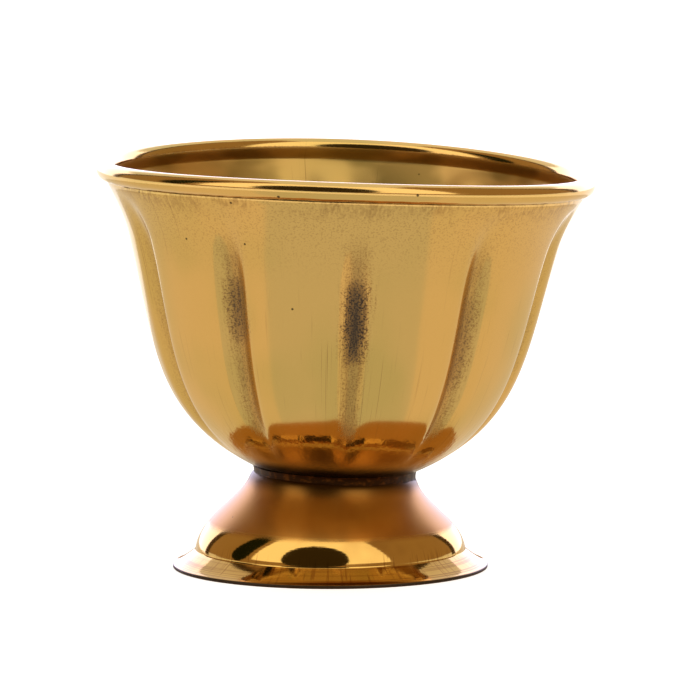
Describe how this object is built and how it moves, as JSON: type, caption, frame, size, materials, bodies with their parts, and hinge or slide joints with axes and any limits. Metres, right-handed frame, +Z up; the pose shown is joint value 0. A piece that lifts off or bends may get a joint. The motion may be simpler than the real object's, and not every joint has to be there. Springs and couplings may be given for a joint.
{
  "type": "footed brass bowl",
  "caption": "Small fluted sheet-brass bowl with a flared, rolled rim, soldered onto a hollow bell-shaped foot with a flat flange.",
  "frame": {"origin": "on the table, below the centre of the whole bowl's bounding box; the foot stands a little to -X of it, because the bowl leans and sits off-centre to +X", "axes": "+Z up, out of the bowl's mouth; +X is the side that the bowl leans to; -Y is the side with a crease nearly in its middle"},
  "size_m": [0.1026, 0.1026, 0.0847],
  "materials": {
    "bowl_brass": "hand-polished sheet brass with dark patina in the creases",
    "wire_brass": "drawn brass wire, unpolished",
    "foot_brass": "spun and polished sheet brass with fine turning lines",
    "joint_solder": "dark oxidised solder"
  },
  "bodies": {
    "root": {"bowl_shell": "bowl_brass", "rim_wire": "wire_brass", "foot_shell": "foot_brass", "solder_ring": "joint_solder"}
  },
  "joints": []
}
